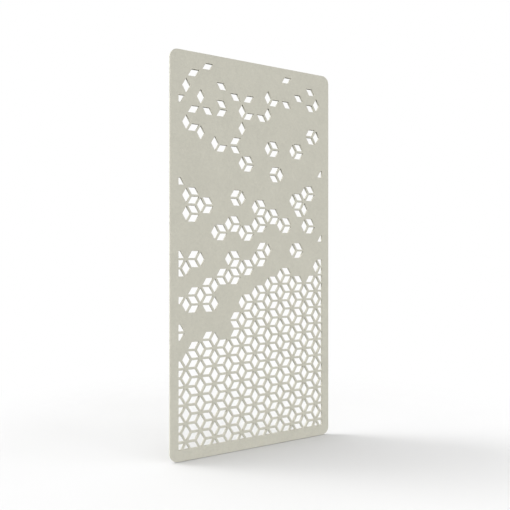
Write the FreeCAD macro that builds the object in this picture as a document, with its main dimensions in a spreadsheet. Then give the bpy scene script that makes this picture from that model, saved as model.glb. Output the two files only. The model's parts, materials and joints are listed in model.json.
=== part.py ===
import FreeCAD, Part
import math
import os

import Sketcher

# Hanging acoustic screen: a perforated felt board with two hidden hanging points in its top edge.
# The origin is the middle of the top edge, half way through the thickness.
# +Z is up, +X runs along the edge, and the front face looks towards -Y. All sizes are in mm.

SIZES = {
    # felt board
    "panel_width": 1128,
    "panel_height": 2400,
    "panel_thickness": 15,
    "corner_radius": 50,
    # lattice of rhombs and the window that it is cut in; openings lie half a rib inside their cells
    "cell_side": 61.8,
    "upright_rib": 10.2,
    "level_rib": 12.6,
    "slant_rib": 13.8,
    "lattice_drop": 44.2,
    "top_margin": 55,
    "side_margin": 52.5,
    "bottom_margin": 66.5,
    "smallest_cut": 8,
    # hanging points
    "hanger_inset": 150,
    "bolt_clearance": 5.5,
    "bolt_run_out": 6,
    # barrel nut, lying across the board
    "nut_depth": 30,
    "nut_diameter": 10,
    "thread_core": 4.2,
    "front_skin": 2,
    "driver_slot_width": 1.2,
    "driver_slot_depth": 1,
    # felt plug behind the nut
    "plug_diameter": 12,
    "plug_thickness": 2,
    # flanged bush in the top edge
    "flange_length": 24,
    "flange_width": 8,
    "flange_thickness": 1.5,
    "sleeve_diameter": 7.5,
    "sleeve_gap": 1,
    "groove_width": 1.2,
    "groove_depth": 0.3,
    "groove_pitch": 6,
    "groove_count": 3,
    # clearances and broken edges
    "running_fit": 0.05,
    "end_play": 0.05,
    "glue_line": 0.05,
    "edge_break": 0.4,
}

# Places and sizes that several pieces share, worked out from the sheet
HANGER_X = "(sizes.panel_width / 2 - sizes.hanger_inset)"
REAR_FACE = "(sizes.panel_thickness / 2)"
NUT_FRONT = "(sizes.panel_thickness / 2 - sizes.front_skin - sizes.end_play)"
NUT_REAR = "(sizes.panel_thickness / 2 - sizes.plug_thickness - sizes.end_play)"
NUT_TOP_DEPTH = "(sizes.nut_depth - sizes.nut_diameter / 2)"
SLEEVE_LENGTH = f"({NUT_TOP_DEPTH} - sizes.sleeve_gap)"
SIDES = {"left": -1, "right": 1}

# Cut list of the lattice. Columns are numbered from the left and levels from the top, half a cell apart.
# An upright rhomb hangs from (column, level) down to level + 2. A slanted rhomb lies in the gap to the
# right of a column, between level and level + 1. A cube is one upright with the two slants beside it.
MIDDLE_COLUMN = 5
CUBES_UPRIGHT_LEFT = (
    (0, 14), (0, 16), (0, 26), (1, 15), (2, 18), (3, 17), (3, 21), (3, 23), (4, 10), (4, 18), (4, 22),
    (5, 15), (5, 17), (5, 21), (6, 8), (6, 16), (7, 17), (8, 8), (8, 14), (8, 20), (9, 13), (9, 17),
)
CUBES_UPRIGHT_RIGHT = (
    (0, 22), (1, 21), (1, 25), (2, 24), (2, 26), (3, 23), (4, 14), (6, 20), (7, 11), (9, 15), (10, 6),
)
SINGLE_UPRIGHTS = (
    (0, 2), (0, 6), (1, 3), (1, 7), (2, 8), (4, 4), (4, 6), (6, 2), (6, 4), (10, 2),
)
SINGLE_SLANTS = {
    -1: (4, 13, 21, 26, 29, 30),
    0: (1, 5, 7),
    1: (0, 5),
    2: (2, 4, 5, 9),
    3: (3, 8, 9),
    4: (3, 5),
    5: (5,),
    6: (3,),
    7: (0, 3),
    8: (2,),
    9: (1, 3),
    10: (11, 19),
}
# The closed field fills everything below these levels, column by column and gap by gap from the left
FIELD_FIRST_COLUMN = 0
FIELD_TOP_UPRIGHTS = (32, 31, 30, 31, 26, 25, 24, 23, 24, 25, 22)
FIELD_FIRST_GAP = -1
FIELD_TOP_SLANTS = (33, 31, 30, 31, 28, 26, 25, 24, 23, 24, 24, 22)


doc = FreeCAD.newDocument("hanging_acoustic_screen")
sheet = doc.addObject("Spreadsheet::Sheet", "sizes")
for row, (alias, value) in enumerate(SIZES.items(), start=1):
    sheet.set(f"A{row}", alias)
    sheet.set(f"B{row}", str(value))
    sheet.setAlias(f"B{row}", alias)
doc.recompute()


def size(alias):
    """The number in the sheet's cell of that name."""
    return float(sheet.get(alias))


def origin_part(body, role):
    """One of the body's own origin planes or axes, such as XZ_Plane."""
    return next(item for item in body.Origin.OriginFeatures if item.Role == role)


def new_sketch(body, name, role, **offsets):
    """A sketch on an origin plane of the body, moved in its own x, y and z by the given expressions."""
    sketch = body.newObject("Sketcher::SketchObject", name)
    sketch.AttachmentSupport = [(origin_part(body, role), "")]
    sketch.MapMode = "FlatFace"
    for axis, expression in offsets.items():
        sketch.setExpression(f"AttachmentOffset.Base.{axis}", expression)
    return sketch


def constrain(sketch, *rules):
    """Adds geometric constraints that hold no size."""
    for rule in rules:
        sketch.addConstraint(Sketcher.Constraint(*rule))


def dimension(sketch, name, expression, *rule):
    """Adds a named dimension and binds it to an expression of the sheet."""
    index = sketch.addConstraint(Sketcher.Constraint(*rule))
    sketch.renameConstraint(index, name)
    sketch.setExpression(f"Constraints.{name}", expression)


def draw_circle(sketch, diameter):
    """A circle round the sketch's origin."""
    start_radius = 1.0
    ring = sketch.addGeometry(Part.Circle(FreeCAD.Vector(), FreeCAD.Vector(0, 0, 1), start_radius))
    constrain(sketch, ("Coincident", ring, 3, -1, 1))
    dimension(sketch, "diameter", diameter, "Diameter", ring, 2 * start_radius)


def arc_of(x, y, radius, start_quarter, end_quarter):
    """An arc about (x, y) from one quarter turn to another, counted from +x."""
    circle = Part.Circle(FreeCAD.Vector(x, y), FreeCAD.Vector(0, 0, 1), radius)
    return Part.ArcOfCircle(circle, start_quarter * math.pi / 2, end_quarter * math.pi / 2)


def line_of(x1, y1, x2, y2):
    return Part.LineSegment(FreeCAD.Vector(x1, y1), FreeCAD.Vector(x2, y2))


def draw_slot(sketch, length, width):
    """A round-ended slot along x, centred on the sketch's origin."""
    reach = 2.0
    radius = 1.0
    upper = sketch.addGeometry(line_of(-reach, radius, reach, radius))
    lower = sketch.addGeometry(line_of(reach, -radius, -reach, -radius))
    right = sketch.addGeometry(arc_of(reach, 0, radius, -1, 1))
    left = sketch.addGeometry(arc_of(-reach, 0, radius, 1, 3))
    constrain(
        sketch,
        ("Tangent", upper, 2, right, 2),
        ("Tangent", lower, 1, right, 1),
        ("Tangent", lower, 2, left, 2),
        ("Tangent", upper, 1, left, 1),
        ("Equal", right, left),
        ("Symmetric", left, 3, right, 3, -1, 1),
        ("Horizontal", upper),
    )
    dimension(sketch, "end_radius", f"({width}) / 2", "Radius", right, radius)
    dimension(sketch, "centres", f"({length}) - ({width})", "DistanceX", left, 3, right, 3, 2 * reach)


def draw_rectangle(sketch, width, height):
    """A rectangle centred on the sketch's origin."""
    corners = ((-1, -1), (1, -1), (1, 1), (-1, 1))
    bottom, right, top, left = [
        sketch.addGeometry(line_of(*here, *there)) for here, there in zip(corners, corners[1:] + corners[:1])
    ]
    constrain(
        sketch,
        ("Coincident", bottom, 2, right, 1),
        ("Coincident", right, 2, top, 1),
        ("Coincident", top, 2, left, 1),
        ("Coincident", left, 2, bottom, 1),
        ("Horizontal", bottom),
        ("Horizontal", top),
        ("Vertical", right),
        ("Vertical", left),
        ("Symmetric", bottom, 1, top, 1, -1, 1),
    )
    dimension(sketch, "width", width, "DistanceX", bottom, 1, bottom, 2, 2.0)
    dimension(sketch, "height", height, "DistanceY", right, 1, right, 2, 2.0)


def draw_board(sketch):
    """The board's outline: a rounded rectangle that hangs from the sketch's x axis, centred on its y axis."""
    half = size("panel_width") / 2
    low = -size("panel_height")
    radius = size("corner_radius")
    inner = half - radius
    top = sketch.addGeometry(line_of(-inner, 0, inner, 0))
    right = sketch.addGeometry(line_of(half, -radius, half, low + radius))
    bottom = sketch.addGeometry(line_of(inner, low, -inner, low))
    left = sketch.addGeometry(line_of(-half, low + radius, -half, -radius))
    top_right = sketch.addGeometry(arc_of(inner, -radius, radius, 0, 1))
    bottom_right = sketch.addGeometry(arc_of(inner, low + radius, radius, -1, 0))
    bottom_left = sketch.addGeometry(arc_of(-inner, low + radius, radius, 2, 3))
    top_left = sketch.addGeometry(arc_of(-inner, -radius, radius, 1, 2))
    constrain(
        sketch,
        ("Tangent", top, 2, top_right, 2),
        ("Tangent", right, 1, top_right, 1),
        ("Tangent", right, 2, bottom_right, 2),
        ("Tangent", bottom, 1, bottom_right, 1),
        ("Tangent", bottom, 2, bottom_left, 2),
        ("Tangent", left, 1, bottom_left, 1),
        ("Tangent", left, 2, top_left, 2),
        ("Tangent", top, 1, top_left, 1),
        ("Equal", top_right, bottom_right),
        ("Equal", top_right, bottom_left),
        ("Equal", top_right, top_left),
        ("Horizontal", bottom),
        ("Vertical", right),
        ("Vertical", left),
        ("Symmetric", top, 1, top, 2, -2),
        ("PointOnObject", top, 1, -1),
    )
    dimension(sketch, "corner", "sizes.corner_radius", "Radius", top_right, radius)
    dimension(sketch, "width", "sizes.panel_width", "DistanceX", left, 1, right, 1, 2 * half)
    dimension(sketch, "height", "sizes.panel_height", "DistanceY", bottom, 1, top, 1, -low)


def add_pad(body, name, sketch, length, back_length=None, down=False):
    """Raises a sketch along its normal, and also the other way if back_length is given."""
    pad = body.newObject("PartDesign::Pad", name)
    pad.Profile = sketch
    pad.Reversed = down
    pad.setExpression("Length", length)
    if back_length:
        pad.SideType = "Two sides"
        pad.setExpression("Length2", back_length)
    doc.recompute()
    return pad


def must_cut(feature, base):
    """Recomputes after a cut and makes sure that it took material away from its base."""
    doc.recompute()
    if not feature.Shape.Volume < base.Shape.Volume:
        raise RuntimeError(f"{feature.Name} cuts nothing")
    return feature


def add_pocket(body, name, sketch, depth, along_normal=False):
    """Cuts a sketch into the body, against its normal unless along_normal is set."""
    base = body.Tip
    pocket = body.newObject("PartDesign::Pocket", name)
    pocket.Profile = sketch
    pocket.Reversed = along_normal
    pocket.setExpression("Length", depth)
    return must_cut(pocket, base)


def add_through_hole(body, name, sketch):
    """Cuts a sketch right through the body, both ways from its plane."""
    base = body.Tip
    pocket = body.newObject("PartDesign::Pocket", name)
    pocket.Profile = sketch
    pocket.Type = "ThroughAll"
    pocket.SideType = "Symmetric"
    return must_cut(pocket, base)


def break_rims(body, feature, planes, axis):
    """Chamfers all edges that lie square to an axis, at the given places along it."""
    tolerance = 1e-4
    names = []
    for number, edge in enumerate(feature.Shape.Edges, start=1):
        ends = [getattr(vertex.Point, axis) for vertex in edge.Vertexes]
        if any(all(abs(end - place) < tolerance for end in ends) for place in planes):
            names.append(f"Edge{number}")
    chamfer = body.newObject("PartDesign::Chamfer", f"{feature.Name}_rims")
    chamfer.Base = (feature, names)
    chamfer.setExpression("Size", "sizes.edge_break")
    return must_cut(chamfer, feature)


def place(piece, sign, y="0", z="0"):
    """Puts a piece at a hanging point: sign -1 on the left and 1 on the right."""
    piece.setExpression("Placement.Base.x", f"{sign} * {HANGER_X}")
    piece.setExpression("Placement.Base.y", y)
    piece.setExpression("Placement.Base.z", z)


# Lattice of openings: how far apart its columns and its levels lie, for a cell side of 1
COLUMN_PER_SIDE = 1.5
LEVEL_PER_SIDE = math.sqrt(3) / 2


def lattice_point(column, level):
    """Where a column crosses a level, as x and z."""
    x = (column - MIDDLE_COLUMN) * COLUMN_PER_SIDE * size("cell_side")
    z = -size("lattice_drop") - level * LEVEL_PER_SIDE * size("cell_side")
    return x, z


def upright_opening(column, level):
    """The corners of an upright rhomb, drawn in on all sides by half a rib."""
    keep = 1 - size("upright_rib") / (LEVEL_PER_SIDE * size("cell_side"))
    half_width = keep * size("cell_side") / 2
    half_height = keep * LEVEL_PER_SIDE * size("cell_side")
    x, z = lattice_point(column, level + 1)
    return [(x, z + half_height), (x + half_width, z), (x, z - half_height), (x - half_width, z)]


def slanted_opening(gap, level):
    """The corners of a rhomb with two level sides. Its level and its slanted sides have ribs of their own."""
    cell_height = LEVEL_PER_SIDE * size("cell_side")
    rise = (cell_height - size("level_rib")) / 2
    lean = rise / (2 * LEVEL_PER_SIDE)
    half_length = (cell_height - size("slant_rib")) / (2 * LEVEL_PER_SIDE)
    if (level - gap) % 2 == 0:
        rise = -rise
    x, z = lattice_point(gap + 0.5, level + 0.5)
    return [
        (x - lean - half_length, z - rise),
        (x - lean + half_length, z - rise),
        (x + lean + half_length, z + rise),
        (x + lean - half_length, z + rise),
    ]


def held_index(values, first, number):
    """The value for a column or gap; those outside the list take the nearest end's."""
    return values[min(max(number - first, 0), len(values) - 1)]


def cut_list():
    """Every upright (column, level) and slant (gap, level) that is cut, down to the foot of the window."""
    pitch = COLUMN_PER_SIDE * size("cell_side")
    reach = math.ceil(size("panel_width") / 2 / pitch)
    lowest = math.ceil(size("panel_height") / (LEVEL_PER_SIDE * size("cell_side")))
    uprights = set(SINGLE_UPRIGHTS) | set(CUBES_UPRIGHT_LEFT) | set(CUBES_UPRIGHT_RIGHT)
    slants = {(gap, level) for gap, levels in SINGLE_SLANTS.items() for level in levels}
    for column, level in CUBES_UPRIGHT_LEFT:
        slants |= {(column, level), (column, level + 1)}
    for column, level in CUBES_UPRIGHT_RIGHT:
        slants |= {(column - 1, level), (column - 1, level + 1)}
    for number in range(MIDDLE_COLUMN - reach, MIDDLE_COLUMN + reach + 1):
        top = held_index(FIELD_TOP_UPRIGHTS, FIELD_FIRST_COLUMN, number)
        top += (top - number) % 2
        uprights |= {(number, level) for level in range(top, lowest, 2)}
        top = held_index(FIELD_TOP_SLANTS, FIELD_FIRST_GAP, number)
        slants |= {(number, level) for level in range(top, lowest)}
    return sorted(uprights), sorted(slants)


def clipped(points, inside):
    """The part of an outline where the function inside isn't negative."""
    kept = []
    for here, there in zip(points, points[1:] + points[:1]):
        depth_here = inside(here)
        depth_there = inside(there)
        if depth_here >= 0:
            kept.append(here)
        if depth_here * depth_there < 0:
            share = depth_here / (depth_here - depth_there)
            kept.append(tuple(a + share * (b - a) for a, b in zip(here, there)))
    return kept


def in_window(points):
    """An opening cut off by the window's head, sides and foot."""
    head = -size("top_margin")
    side = size("panel_width") / 2 - size("side_margin")
    foot = size("bottom_margin") - size("panel_height")
    limits = (
        lambda p: head - p[1],
        lambda p: side - p[0],
        lambda p: side + p[0],
        lambda p: p[1] - foot,
    )
    for inside in limits:
        points = clipped(points, inside)
    return points


def large_enough(points):
    """Tells whether an opening is worth cutting after the window has cut it off."""
    spans = [max(values) - min(values) for values in zip(*points)]
    return len(points) > 2 and min(spans) >= size("smallest_cut")


def perforation():
    """All openings as prisms that pass through the board."""
    uprights, slants = cut_list()
    outlines = [upright_opening(*cell) for cell in uprights] + [slanted_opening(*cell) for cell in slants]
    thickness = size("panel_thickness")
    prisms = []
    for outline in filter(large_enough, map(in_window, outlines)):
        corners = [FreeCAD.Vector(x, -thickness, z) for x, z in outline]
        face = Part.Face(Part.makePolygon(corners + corners[:1]))
        prisms.append(face.extrude(FreeCAD.Vector(0, 2 * thickness, 0)))
    feature = doc.addObject("Part::Feature", "perforation")
    feature.Shape = Part.makeCompound(prisms)
    return feature


def panel_blank():
    """The board with the bores of its right hanging point, mirrored to the left."""
    body = doc.addObject("PartDesign::Body", "panel_blank")
    outline = new_sketch(body, "board_outline", "XZ_Plane")
    draw_board(outline)
    add_pad(body, "board", outline, "sizes.panel_thickness / 2", "sizes.panel_thickness / 2")

    recess = new_sketch(body, "flange_recess_outline", "XY_Plane", x=HANGER_X)
    draw_slot(recess, "sizes.flange_length + 2 * sizes.glue_line", "sizes.flange_width + 2 * sizes.glue_line")
    sleeve = new_sketch(body, "sleeve_bore_outline", "XY_Plane", x=HANGER_X)
    draw_circle(sleeve, "sizes.sleeve_diameter + 2 * sizes.glue_line")
    run_out = new_sketch(body, "run_out_outline", "XY_Plane", x=HANGER_X)
    draw_circle(run_out, "sizes.bolt_clearance")
    # the plane's normal points forwards, so the rear face lies on its negative side
    at_rear = {"x": HANGER_X, "y": "-sizes.nut_depth", "z": f"-{REAR_FACE}"}
    nut = new_sketch(body, "nut_bore_outline", "XZ_Plane", **at_rear)
    draw_circle(nut, "sizes.nut_diameter + 2 * sizes.running_fit")
    seat = new_sketch(body, "plug_seat_outline", "XZ_Plane", **at_rear)
    draw_circle(seat, "sizes.plug_diameter + 2 * sizes.glue_line")

    run_out_depth = "sizes.nut_depth + sizes.nut_diameter / 2 + sizes.bolt_run_out"
    cuts = [
        add_pocket(body, "flange_recess", recess, "sizes.flange_thickness"),
        add_pocket(body, "sleeve_bore", sleeve, "sizes.nut_depth"),
        add_pocket(body, "run_out", run_out, run_out_depth),
        add_pocket(body, "nut_bore", nut, "sizes.panel_thickness - sizes.front_skin", along_normal=True),
        add_pocket(body, "plug_seat", seat, "sizes.plug_thickness", along_normal=True),
    ]
    other_side = body.newObject("PartDesign::Mirrored", "other_hanging_point")
    other_side.Originals = cuts
    other_side.MirrorPlane = (origin_part(body, "YZ_Plane"), [""])
    body.Tip = other_side
    doc.recompute()
    return body


def felt_panel():
    panel = doc.addObject("Part::Cut", "felt_panel")
    panel.Base = panel_blank()
    panel.Tool = perforation()
    return panel


def barrel_nut(side, sign):
    """A short cross nut. Its thread, drawn as a plain core hole, runs up; its driver slot faces the rear."""
    body = doc.addObject("PartDesign::Body", f"{side}_barrel_nut")
    outline = new_sketch(body, f"{side}_nut_outline", "XZ_Plane")
    draw_circle(outline, "sizes.nut_diameter")
    barrel = add_pad(body, f"{side}_nut_barrel", outline, NUT_FRONT, NUT_REAR)
    half = size("panel_thickness") / 2 - size("end_play")
    ends = (size("front_skin") - half, half - size("plug_thickness"))
    break_rims(body, barrel, ends, "y")
    thread = new_sketch(body, f"{side}_nut_thread_outline", "XY_Plane")
    draw_circle(thread, "sizes.thread_core")
    add_through_hole(body, f"{side}_nut_thread", thread)
    slot = new_sketch(body, f"{side}_nut_slot_outline", "XZ_Plane", z=f"-{NUT_REAR}")
    draw_rectangle(slot, "sizes.driver_slot_width", "sizes.nut_diameter + 2 * sizes.driver_slot_width")
    add_pocket(body, f"{side}_nut_slot", slot, "sizes.driver_slot_depth", along_normal=True)
    place(body, sign, z="-sizes.nut_depth")
    return body


def edge_bush(side, sign):
    """A sleeve with a round-ended flange. Rings round the sleeve hold the glue."""
    body = doc.addObject("PartDesign::Body", f"{side}_edge_bush")
    flange = new_sketch(body, f"{side}_flange_outline", "XY_Plane")
    draw_slot(flange, "sizes.flange_length", "sizes.flange_width")
    add_pad(body, f"{side}_flange", flange, "sizes.flange_thickness", down=True)
    sleeve = new_sketch(body, f"{side}_sleeve_outline", "XY_Plane")
    draw_circle(sleeve, "sizes.sleeve_diameter")
    add_pad(body, f"{side}_sleeve", sleeve, SLEEVE_LENGTH, down=True)

    first_ring = "-(sizes.flange_thickness + sizes.groove_pitch)"
    ring = new_sketch(body, f"{side}_ring_outline", "XZ_Plane", x="sizes.sleeve_diameter / 2", y=first_ring)
    draw_rectangle(ring, "2 * sizes.groove_depth", "sizes.groove_width")
    plain_sleeve = body.Tip
    groove = body.newObject("PartDesign::Groove", f"{side}_glue_ring")
    groove.Profile = ring
    groove.ReferenceAxis = (origin_part(body, "Z_Axis"), [""])
    must_cut(groove, plain_sleeve)
    rings = body.newObject("PartDesign::LinearPattern", f"{side}_glue_rings")
    rings.Originals = [groove]
    rings.Direction = (origin_part(body, "Z_Axis"), [""])
    rings.Reversed = True
    rings.setExpression("Occurrences", "sizes.groove_count")
    rings.setExpression("Length", "sizes.groove_pitch * (sizes.groove_count - 1)")
    body.Tip = rings
    must_cut(rings, groove)

    hole = new_sketch(body, f"{side}_bolt_hole_outline", "XY_Plane")
    draw_circle(hole, "sizes.bolt_clearance")
    bore = add_through_hole(body, f"{side}_bolt_hole", hole)
    break_rims(body, bore, (0,), "z")
    place(body, sign)
    return body


def bore_plug(side, sign):
    """A felt disc that seats on the ledge behind the nut, flush with the rear face."""
    body = doc.addObject("PartDesign::Body", f"{side}_bore_plug")
    outline = new_sketch(body, f"{side}_plug_outline", "XZ_Plane")
    draw_circle(outline, "sizes.plug_diameter")
    disc = add_pad(body, f"{side}_plug_disc", outline, "sizes.plug_thickness")
    break_rims(body, disc, (-size("plug_thickness"),), "y")
    place(body, sign, y=REAR_FACE, z="-sizes.nut_depth")
    return body


pieces = [felt_panel()]
for make in (barrel_nut, edge_bush, bore_plug):
    pieces += [make(side, sign) for side, sign in SIDES.items()]
doc.recompute()

for item in doc.Objects:
    if {"Invalid", "Error"} & set(item.State):
        raise RuntimeError(f"{item.Name} failed: {item.State}")
for piece in pieces:
    if piece.Shape.isNull() or not piece.Shape.isValid() or len(piece.Shape.Solids) != 1:
        raise RuntimeError(f"{piece.Label} is not one valid solid")

os.makedirs("parts", exist_ok=True)
for piece in pieces:
    piece.Shape.exportStep(f"parts/{piece.Label}.step")
    box = piece.Shape.BoundBox
    low = f"{box.XMin:.2f} {box.YMin:.2f} {box.ZMin:.2f}"
    high = f"{box.XMax:.2f} {box.YMax:.2f} {box.ZMax:.2f}"
    print(f"{piece.Label}: {piece.Shape.Volume:.1f} mm3, from {low} to {high}")
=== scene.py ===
"""A hanging acoustic screen: a felt board cut through with a lattice of rhombs, on two hidden hanging points.

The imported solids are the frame. Felt pieces are rebuilt here with softly rounded cut edges.
Lengths are in metres.
"""

import json
import math

import bmesh
import bpy
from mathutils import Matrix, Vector
from mathutils.geometry import delaunay_2d_cdt


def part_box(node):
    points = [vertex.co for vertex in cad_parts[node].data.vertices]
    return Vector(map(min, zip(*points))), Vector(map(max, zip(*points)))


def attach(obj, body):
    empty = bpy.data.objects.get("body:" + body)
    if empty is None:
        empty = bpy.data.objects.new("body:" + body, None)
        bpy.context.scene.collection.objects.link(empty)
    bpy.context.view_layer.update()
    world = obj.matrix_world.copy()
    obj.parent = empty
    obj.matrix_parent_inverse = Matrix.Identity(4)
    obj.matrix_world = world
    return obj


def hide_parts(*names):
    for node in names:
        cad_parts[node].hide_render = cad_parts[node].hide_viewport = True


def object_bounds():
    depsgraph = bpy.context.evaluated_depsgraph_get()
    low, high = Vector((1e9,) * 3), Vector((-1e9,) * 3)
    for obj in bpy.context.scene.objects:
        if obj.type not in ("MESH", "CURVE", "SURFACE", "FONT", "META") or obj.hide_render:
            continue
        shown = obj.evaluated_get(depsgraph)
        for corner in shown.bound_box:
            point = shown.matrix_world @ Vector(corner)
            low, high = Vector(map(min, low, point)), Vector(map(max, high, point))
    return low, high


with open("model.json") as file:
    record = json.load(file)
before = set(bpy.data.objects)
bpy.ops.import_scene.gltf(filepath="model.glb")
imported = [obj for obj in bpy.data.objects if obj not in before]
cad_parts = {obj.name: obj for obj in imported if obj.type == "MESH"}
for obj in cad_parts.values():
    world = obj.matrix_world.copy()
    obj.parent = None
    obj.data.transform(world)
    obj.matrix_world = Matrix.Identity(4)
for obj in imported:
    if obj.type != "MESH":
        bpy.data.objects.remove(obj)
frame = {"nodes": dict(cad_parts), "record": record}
cad_low, cad_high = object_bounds()

SAME_PLACE = 1e-6
FILL_TOLERANCE = SAME_PLACE / 10
SIDES = ("left", "right")

# Felt board
CUT_ROUNDING = 0.0008
ROUNDING_STEPS = 4
CORNER_STEPS = 24
PLUG_ROUNDING = 0.0003
PLUG_STEPS = 64
SHARP_TURN = math.radians(35)
STRAIGHT_TURN = math.radians(0.2)


def neighbours(loop):
    """Each point of a closed outline with the ones before and after it."""
    return zip(loop[-1:] + loop[:-1], loop, loop[1:] + loop[:1])


def outlines(patch):
    """Closed outlines of a flat patch of faces, as vertices, with the patch on their left."""
    inside = set(patch)
    after = {}
    for face in patch:
        for corner in face.loops:
            if not inside.issuperset(corner.edge.link_faces):
                after[corner.vert] = corner.link_loop_next.vert
    loops = []
    while after:
        first, here = after.popitem()
        loop = [first]
        while here is not first:
            loop.append(here)
            here = after.pop(here)
        loops.append(loop)
    return loops


def turning_points(loop):
    """The points of an outline at which it changes direction."""
    return [
        here
        for before, here, after in neighbours(loop)
        if (here - before).angle(after - here) > STRAIGHT_TURN
    ]


def moved_left(loop, distance):
    """An outline moved to its left, with its corners kept sharp."""
    moved = []
    for before, here, after in neighbours(loop):
        arriving = (here - before).normalized().orthogonal()
        leaving = (after - here).normalized().orthogonal()
        moved.append(here + (arriving + leaving) * (distance / (1 + arriving.dot(leaving))))
    return moved


def arc(centre, radius, start, end, steps):
    """Points from one angle to another about a centre, both ends included."""
    angles = [start + (end - start) * k / steps for k in range(steps + 1)]
    return [centre + radius * Vector((math.cos(a), math.sin(a))) for a in angles]


def rounded_rectangle(low, high, radius):
    """Counter-clockwise outline of a rectangle with round corners."""
    quarter = math.pi / 2
    centres = (
        (high.x - radius, high.y - radius),
        (low.x + radius, high.y - radius),
        (low.x + radius, low.y + radius),
        (high.x - radius, low.y + radius),
    )
    loop = []
    for number, centre in enumerate(centres):
        loop += arc(Vector(centre), radius, number * quarter, (number + 1) * quarter, CORNER_STEPS)
    return loop


def rounded_cut(half_thickness, radius):
    """Steps of a cut edge from the front face to the rear: how far each lies in the felt, and its depth."""
    turns = [math.pi / 2 * k / ROUNDING_STEPS for k in range(ROUNDING_STEPS + 1)]
    front = [(radius * (1 - math.sin(a)), radius * (1 - math.cos(a)) - half_thickness) for a in turns]
    return front + [(inset, -depth) for inset, depth in reversed(front)]


def turned_left(loop, flat):
    """An outline of vertices in counter-clockwise order. flat gives a vertex's place in the plane."""
    points = [flat(vert) for vert in loop]
    area = sum(here.cross(after) for here, after in zip(points, points[1:] + points[:1]))
    return loop if area > 0 else loop[::-1]


def fill(mesh, loops, flat):
    """Closes the space between an outline of vertices, given first, and those that lie inside it."""
    verts = []
    areas = []
    for loop in loops:
        areas.append(range(len(verts), len(verts) + len(loop)))
        verts += turned_left(loop, flat)
    triangles_inside = 1
    spots = [flat(vert) for vert in verts]
    found = delaunay_2d_cdt(spots, [], areas, triangles_inside, FILL_TOLERANCE)
    _, _, triangles, sources, _, covering_areas = found
    for corners, covering in zip(triangles, covering_areas):
        # what lies in the first area alone is inside its outline and outside all others
        if covering == [0]:
            mesh.faces.new([verts[sources[k][0]] for k in corners])


def cut_walls(mesh, loop, profile, y, skip=None):
    """Walls along an outline in the x-z plane, through the steps of a profile. Returns rings of vertices.

    Where skip is given, it tells which faces to leave out.
    """
    rings = []
    for inset, depth in profile:
        rings.append([mesh.verts.new((p.x, y + depth, p.y)) for p in moved_left(loop, inset)])
    for near, far in zip(rings, rings[1:]):
        for k in range(len(loop)):
            after = (k + 1) % len(loop)
            if skip is None or not skip(near[k], near[after], far[k]):
                mesh.faces.new((near[k], near[after], far[after], far[k]))
    return rings


def felt_object(name, mesh, node, body):
    """Makes a shown piece of a finished felt mesh, which stands for a CAD node."""
    bmesh.ops.remove_doubles(mesh, verts=mesh.verts, dist=SAME_PLACE)
    bmesh.ops.recalc_face_normals(mesh, faces=mesh.faces)
    data = bpy.data.meshes.new(name)
    mesh.to_mesh(data)
    mesh.free()
    data.polygons.foreach_set("use_smooth", [True] * len(data.polygons))
    data.set_sharp_from_angle(angle=SHARP_TURN)
    piece = bpy.data.objects.new(name, data)
    bpy.context.scene.collection.objects.link(piece)
    weights = piece.modifiers.new("flat_faces", "WEIGHTED_NORMAL")
    weights.keep_sharp = True
    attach(piece, body)
    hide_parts(node)
    return piece


def felt_board():
    """The board: its outline and openings with rounded rims, and the bores of the hanging points."""
    low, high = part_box("felt_panel")
    half = (high.y - low.y) / 2
    solid = bmesh.new()
    solid.from_mesh(frame["nodes"]["felt_panel"].data)
    bmesh.ops.remove_doubles(solid, verts=solid.verts, dist=SAME_PLACE)

    def patch(axis, value):
        """The faces that lie flat at a place along an axis."""
        return [
            face
            for face in solid.faces
            if all(abs(getattr(vert.co, axis) - value) < SAME_PLACE for vert in face.verts)
        ]

    front = patch("y", low.y)
    rear = patch("y", high.y)
    top = patch("z", high.z)
    # only the bores have corners within the thickness, apart from the top edge that they open in
    bores = [
        face
        for face in solid.faces
        if face not in top and any(abs(vert.co.y) < half - SAME_PLACE for vert in face.verts)
    ]
    in_bores = {vert for face in bores for vert in face.verts}
    cuts = [turning_points([Vector(v.co.xz) for v in loop]) for loop in outlines(front)]
    cuts.sort(key=lambda loop: max(p.x for p in loop) - min(p.x for p in loop))
    widest = cuts.pop()
    radius = high.x - max(p.x for p in widest if high.z - p.y < SAME_PLACE)
    rim = rounded_rectangle(low.xz, high.xz, radius)

    board = bmesh.new()
    copies = {vert: board.verts.new(vert.co) for vert in solid.verts if vert in in_bores}
    for face in bores:
        board.faces.new([copies[vert] for vert in face.verts])
    seats = [[copies[v] for v in loop] for loop in outlines(rear) if loop[0] in in_bores]
    recesses = [[copies[v] for v in loop] for loop in outlines(top) if loop[0] in in_bores]

    profile = rounded_cut(half, CUT_ROUNDING)
    strip = []

    def top_strip(here, after, beyond):
        """Tells if a face is the strip along the top edge, which is noted and filled round the recesses."""
        long_step = abs(here.co.x - after.co.x) > 2 * radius and high.z - here.co.z < SAME_PLACE
        found = long_step and beyond.co.y - here.co.y > half
        if found:
            strip.extend((here, after))
        return found

    shells = [cut_walls(board, rim, profile, 0, top_strip)]
    shells += [cut_walls(board, loop, profile, 0) for loop in cuts]
    fill(board, [rings[0] for rings in shells], lambda v: v.co.xz)
    fill(board, [rings[-1] for rings in shells] + seats, lambda v: v.co.xz)
    near, far = shells[0][ROUNDING_STEPS : ROUNDING_STEPS + 2]
    start, end = [near.index(vert) for vert in strip]
    top_edge = [near[start], near[end], far[end], far[start]]
    fill(board, [top_edge] + recesses, lambda v: v.co.xy)
    solid.free()
    return felt_object("board", board, "felt_panel", "screen")


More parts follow.
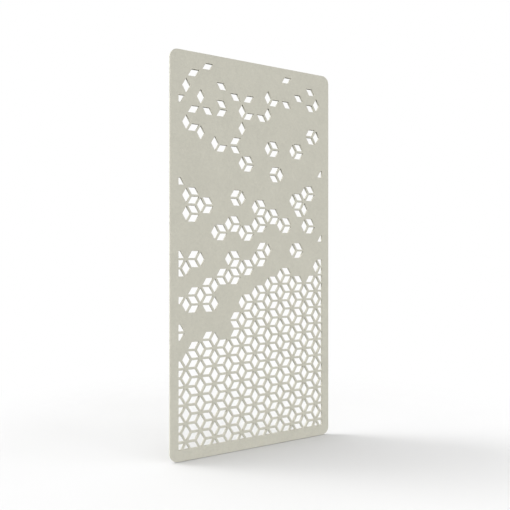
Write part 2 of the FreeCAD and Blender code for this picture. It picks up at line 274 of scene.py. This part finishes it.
def felt_plug(side):
    """A felt disc with a rounded rim, flush with the rear face."""
    node = f"{side}_bore_plug"
    low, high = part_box(node)
    middle = (low + high) / 2
    half = (high.y - low.y) / 2
    circle = arc(middle.xz, (high.x - low.x) / 2, 0, 2 * math.pi, PLUG_STEPS)[:-1]
    plug = bmesh.new()
    rings = cut_walls(plug, circle, rounded_cut(half, PLUG_ROUNDING), middle.y)
    fill(plug, [rings[0]], lambda v: v.co.xz)
    fill(plug, [rings[-1]], lambda v: v.co.xz)
    return felt_object(f"{side}_plug", plug, node, "screen")


# Materials. Scales of noise are in cells to the metre, and angles of fibres in degrees.
FIBRE_WAVES = 60.0
FIBRE_BEND = (0.008, 0.0, 0.008)
FIBRE_ROUGHNESS = 0.65
MAT_ANGLES = (8, 67, 129)
MAT_WEIGHT = 0.5
STRAND_ANGLES = (22, 51, 84, 113, 146, 174)
STRAND_RANGE = (0.6, 0.75)
PALE_STRANDS = 0.45
DARK_STRANDS = 0.4
LAYERS_ON_CUTS = 0.65
# the normal's part across the board at which a surface starts to be a cut, and at which it is one
CUT_RANGE = (0.6, 0.1)


class Shader:
    """A material with one Principled shader, and short ways to add and join nodes."""

    def __init__(self, name):
        self.material = bpy.data.materials.new(name)
        self.material.use_nodes = True
        self.tree = self.material.node_tree
        self.principled = self.tree.nodes["Principled BSDF"]
        coordinates = self.tree.nodes.new("ShaderNodeTexCoord")
        self.place = coordinates.outputs["Object"]
        self.normal = coordinates.outputs["Normal"]

    def add(self, kind, links=None, **settings):
        """A node with settings, and its inputs set to values or joined to outputs."""
        node = self.tree.nodes.new(kind)
        for key, value in settings.items():
            setattr(node, key, value)
        for key, value in (links or {}).items():
            self.join(value, node.inputs[key])
        return node

    def join(self, value, socket):
        """Sets a socket to a value, or links it to an output."""
        if isinstance(value, bpy.types.NodeSocket):
            self.tree.links.new(value, socket)
        else:
            socket.default_value = value

    def noise(self, scale, stretch=(1, 1, 1), turn=0.0, detail=2.0, roughness=0.5, place=None):
        """Noise at a place, with its scale stretched along x, y and z after a turn about y."""
        place = place or self.place
        if turn:
            turned = {"Vector": place, "Angle": turn}
            place = self.add("ShaderNodeVectorRotate", turned, rotation_type="Y_AXIS").outputs[0]
        place = self.add("ShaderNodeMapping", {"Vector": place, "Scale": stretch}).outputs[0]
        links = {"Vector": place, "Scale": scale, "Detail": detail, "Roughness": roughness}
        return self.add("ShaderNodeTexNoise", links).outputs["Fac"]

    def sum(self, *parts):
        """Weighted sum of outputs, each counted from its middle value of a half, about a half."""
        middle = 0.5
        total = middle
        for output, weight in parts:
            links = {0: output, 1: weight, 2: -middle * weight}
            centred = self.add("ShaderNodeMath", links, operation="MULTIPLY_ADD").outputs[0]
            total = self.add("ShaderNodeMath", {0: centred, 1: total}, operation="ADD").outputs[0]
        return total

    def spread(self, value, low, high):
        """A value between 0 and 1 taken to a range."""
        links = {"Value": value, "To Min": low, "To Max": high}
        return self.add("ShaderNodeMapRange", links).outputs["Result"]

    def beyond(self, value, start, end):
        """How far a value has gone from start, at 0, to end, at 1."""
        links = {"Value": value, "From Min": start, "From Max": end}
        return self.add("ShaderNodeMapRange", links).outputs["Result"]

    def largest(self, first, *others):
        result = first
        for other in others:
            result = self.add("ShaderNodeMath", {0: result, 1: other}, operation="MAXIMUM").outputs[0]
        return result

    def times(self, value, factor):
        return self.add("ShaderNodeMath", {0: value, 1: factor}, operation="MULTIPLY").outputs[0]

    def mix(self, factor, first, second):
        """A colour between the first, for a factor of 0, and the second, for 1."""
        node = self.add("ShaderNodeMix", data_type="RGBA")
        colours = [socket for socket in node.inputs if socket.type == "RGBA"]
        self.join(factor, node.inputs["Factor"])
        self.join(first, colours[0])
        self.join(second, colours[1])
        return next(socket for socket in node.outputs if socket.type == "RGBA")

    def bump(self, height, distance, strength):
        links = {"Height": height, "Distance": distance, "Strength": strength}
        return self.add("ShaderNodeBump", links).outputs["Normal"]

    def finish(self, **inputs):
        """Sets inputs of the Principled shader, with underscores for the spaces in their names."""
        for key, value in inputs.items():
            self.join(value, self.principled.inputs[key.replace("_", " ")])
        return self.material


def shade(colour, factor):
    """A paler or darker shade of a colour, opaque."""
    return (*[factor * channel for channel in colour], 1.0)


def grey(level):
    """An opaque grey, from black at 0 to white at 1."""
    return (level, level, level, 1.0)


def slot_colour(slot):
    """The base colour that the record gives for a material slot."""
    return next(m["base_color"] for m in frame["record"]["materials"] if m["slot"] == slot)


def felt_material():
    """Pressed felt: a heather of matted fibres with paler and darker strands, and layers along the cuts."""
    felt = Shader("felt")
    colour = slot_colour("felt")

    waves = felt.add("ShaderNodeTexNoise", {"Vector": felt.place, "Scale": FIBRE_WAVES}).outputs["Color"]
    moves = {0: waves, 1: FIBRE_BEND, 2: felt.place}
    bent = felt.add("ShaderNodeVectorMath", moves, operation="MULTIPLY_ADD").outputs[0]

    def fibres(scale, slimness, angles, detail):
        """Noise drawn out into bent fibres that lie in the board's faces, once for each angle."""
        stretch = (1, slimness, slimness)
        return [
            felt.noise(scale, stretch, math.radians(angle), detail, FIBRE_ROUGHNESS, bent) for angle in angles
        ]

    clouds = felt.noise(scale=6, detail=3)
    clumps = felt.noise(scale=70, detail=4, roughness=0.6)
    mats = fibres(scale=150, slimness=13, angles=MAT_ANGLES, detail=4)
    matted = felt.sum(*[(mat, MAT_WEIGHT) for mat in mats])
    strands = fibres(scale=55, slimness=70, angles=STRAND_ANGLES, detail=1)
    pale_strands = felt.largest(*[felt.beyond(strand, *STRAND_RANGE) for strand in strands[::2]])
    dark_strands = felt.largest(*[felt.beyond(strand, *STRAND_RANGE) for strand in strands[1::2]])
    layers = felt.noise(scale=60, stretch=(1, 25, 1), detail=4, roughness=0.7)
    across = felt.add("ShaderNodeSeparateXYZ", {0: felt.normal}).outputs["Y"]
    flatness = felt.add("ShaderNodeMath", {0: across}, operation="ABSOLUTE").outputs[0]
    on_cut = felt.beyond(flatness, *CUT_RANGE)

    tone = felt.sum((clouds, 0.3), (clumps, 0.55), (matted, 1.0))
    mottled = felt.mix(tone, shade(colour, 0.8), shade(colour, 1.2))
    paler = felt.mix(felt.times(pale_strands, PALE_STRANDS), mottled, shade(colour, 1.4))
    heather = felt.mix(felt.times(dark_strands, DARK_STRANDS), paler, shade(colour, 0.66))
    layered = felt.mix(felt.beyond(layers, start=0.3, end=0.7), shade(colour, 0.84), shade(colour, 1.14))
    height = felt.sum((matted, 0.6), (clumps, 0.5), (layers, 0.3))
    return felt.finish(
        Base_Color=felt.mix(felt.times(on_cut, LAYERS_ON_CUTS), heather, layered),
        Roughness=felt.spread(matted, low=0.86, high=1.0),
        Normal=felt.bump(height, distance=0.0005, strength=0.6),
        Specular_IOR_Level=0.2,
        Sheen_Weight=0.15,
        Sheen_Roughness=0.6,
    )


def metal_material(slot, grain_scale, grain_stretch, low_roughness, high_roughness):
    """Plain metal with a fine grain in its gloss."""
    metal = Shader(slot)
    colour = slot_colour(slot)
    drawn = metal.noise(grain_scale, grain_stretch, detail=3)
    stained = metal.noise(scale=700, detail=2)
    tone = metal.sum((drawn, 0.5), (stained, 0.5))
    return metal.finish(
        Base_Color=metal.mix(tone, shade(colour, 0.88), shade(colour, 1.06)),
        Metallic=1.0,
        Roughness=metal.spread(tone, low_roughness, high_roughness),
        Normal=metal.bump(drawn, distance=0.00003, strength=0.4),
    )


def wear(piece, material):
    """Gives a piece one material all over."""
    piece.data.materials.clear()
    piece.data.materials.append(material)


# Stage, light and camera. Angles are in degrees.
FLOOR_GAP = 0.003
FLOOR_RADIUS = 200.0
FLOOR_SEGMENTS = 64
# how much light the floor gives back in the picture, and to the object
FLOOR_SEEN = 0.778
FLOOR_BOUNCE = 0.06
# how far from its middle the floor starts to run into the white, and where it has
FADE_START = 1.3
FADE_END = 2.6
SKY = 0.65
CAMERA_PLACE = (-1.7375, -3.0918, -1.1976)
CAMERA_HEADING = 29.355
CAMERA_LENS = 40
# each lamp's horizontal direction, its height above the horizon, its strength and how wide it looks
LAMPS = {
    "high_lamp": {"towards": (-0.765, 0.644), "height": 70, "strength": 0.71, "width": 36},
    "key_lamp": {"towards": (-0.765, 0.644), "height": 53, "strength": 0.41, "width": 14},
    "side_lamp": {"towards": (-0.8, 0.6), "height": 8, "strength": 3.0, "width": 40},
    "edge_lamp": {"towards": (-1, 0.05), "height": 4, "strength": 1.26, "width": 12},
    "front_lamp_left": {"towards": (0, -1), "height": 9, "strength": 0.48, "width": 16},
    "front_lamp_middle": {"towards": (0.47, -0.88), "height": 9, "strength": 0.995, "width": 16},
    "front_lamp_right": {"towards": (0.8, -0.6), "height": 9, "strength": 0.925, "width": 16},
}


def seen_rays(tree):
    """1 for rays that show a surface or the sky in the picture, 0 for rays that only carry light."""
    path = tree.nodes.new("ShaderNodeLightPath")
    total = path.outputs["Is Camera Ray"]
    for name in ("Is Glossy Ray", "Is Transmission Ray"):
        larger = tree.nodes.new("ShaderNodeMath")
        larger.operation = "MAXIMUM"
        tree.links.new(total, larger.inputs[0])
        tree.links.new(path.outputs[name], larger.inputs[1])
        total = larger.outputs[0]
    return total


def floor():
    """A pale floor that takes the shadow, and runs into the white surroundings further away."""
    mesh = bmesh.new()
    bmesh.ops.create_circle(mesh, cap_ends=True, segments=FLOOR_SEGMENTS, radius=FLOOR_RADIUS)
    data = bpy.data.meshes.new("floor")
    mesh.to_mesh(data)
    mesh.free()
    piece = bpy.data.objects.new("floor", data)
    piece.location.z = cad_low.z - FLOOR_GAP
    bpy.context.scene.collection.objects.link(piece)

    look = Shader("floor")
    tree = look.tree
    seen = seen_rays(tree)
    colour = look.mix(seen, grey(FLOOR_BOUNCE), grey(FLOOR_SEEN))
    diffuse = look.add("ShaderNodeBsdfDiffuse", {"Color": colour})
    white = look.add("ShaderNodeEmission", {"Color": grey(1), "Strength": 1.0})
    away = look.add("ShaderNodeVectorMath", {0: look.place}, operation="LENGTH").outputs["Value"]
    limits = {"Value": away, "From Min": FADE_START, "From Max": FADE_END}
    fade = look.add("ShaderNodeMapRange", limits, interpolation_type="SMOOTHSTEP").outputs["Result"]
    shown = look.add("ShaderNodeMath", {0: fade, 1: seen}, operation="MULTIPLY").outputs[0]
    blend = look.add("ShaderNodeMixShader", {0: shown, 1: diffuse.outputs[0], 2: white.outputs[0]})
    tree.links.new(blend.outputs[0], tree.nodes["Material Output"].inputs["Surface"])
    tree.nodes.remove(look.principled)
    wear(piece, look.material)


def surroundings():
    """An even sky for light, which shows as plain white."""
    world = bpy.data.worlds.new("surroundings")
    bpy.context.scene.world = world
    world.use_nodes = True
    tree = world.node_tree
    light = tree.nodes["Background"]
    light.inputs["Color"].default_value = grey(1)
    light.inputs["Strength"].default_value = SKY
    white = tree.nodes.new("ShaderNodeBackground")
    white.inputs["Color"].default_value = grey(1)
    choice = tree.nodes.new("ShaderNodeMixShader")
    tree.links.new(seen_rays(tree), choice.inputs[0])
    tree.links.new(light.outputs[0], choice.inputs[1])
    tree.links.new(white.outputs[0], choice.inputs[2])
    tree.links.new(choice.outputs[0], tree.nodes["World Output"].inputs["Surface"])


def lamp(name, towards, height, strength, width):
    """A distant lamp that shines from a horizontal direction and a height, and looks so many degrees wide."""
    data = bpy.data.lights.new(name, "SUN")
    data.energy = strength
    data.angle = math.radians(width)
    piece = bpy.data.objects.new(name, data)
    level = Vector((*towards, 0)).normalized() * math.cos(math.radians(height))
    upward = Vector((0, 0, math.sin(math.radians(height))))
    piece.rotation_euler = (level + upward).to_track_quat("Z", "Y").to_euler()
    bpy.context.scene.collection.objects.link(piece)


def camera():
    """A camera that looks level, turned to its heading from straight at the front face."""
    data = bpy.data.cameras.new("camera")
    data.lens = CAMERA_LENS
    piece = bpy.data.objects.new("camera", data)
    piece.location = CAMERA_PLACE
    piece.rotation_euler = (math.pi / 2, 0, math.radians(-CAMERA_HEADING))
    bpy.context.scene.collection.objects.link(piece)
    bpy.context.scene.camera = piece


felt = felt_material()
steel = metal_material(
    "zinc_steel", grain_scale=900, grain_stretch=(1, 1, 1), low_roughness=0.28, high_roughness=0.5
)
aluminium = metal_material(
    "anodised_bush", grain_scale=500, grain_stretch=(1, 8, 8), low_roughness=0.3, high_roughness=0.48
)
wear(felt_board(), felt)
for side in SIDES:
    wear(felt_plug(side), felt)
    wear(frame["nodes"][f"{side}_barrel_nut"], steel)
    wear(frame["nodes"][f"{side}_edge_bush"], aluminium)

floor()
surroundings()
for name, settings in LAMPS.items():
    lamp(name, **settings)
camera()
bpy.context.scene.view_settings.view_transform = "Standard"
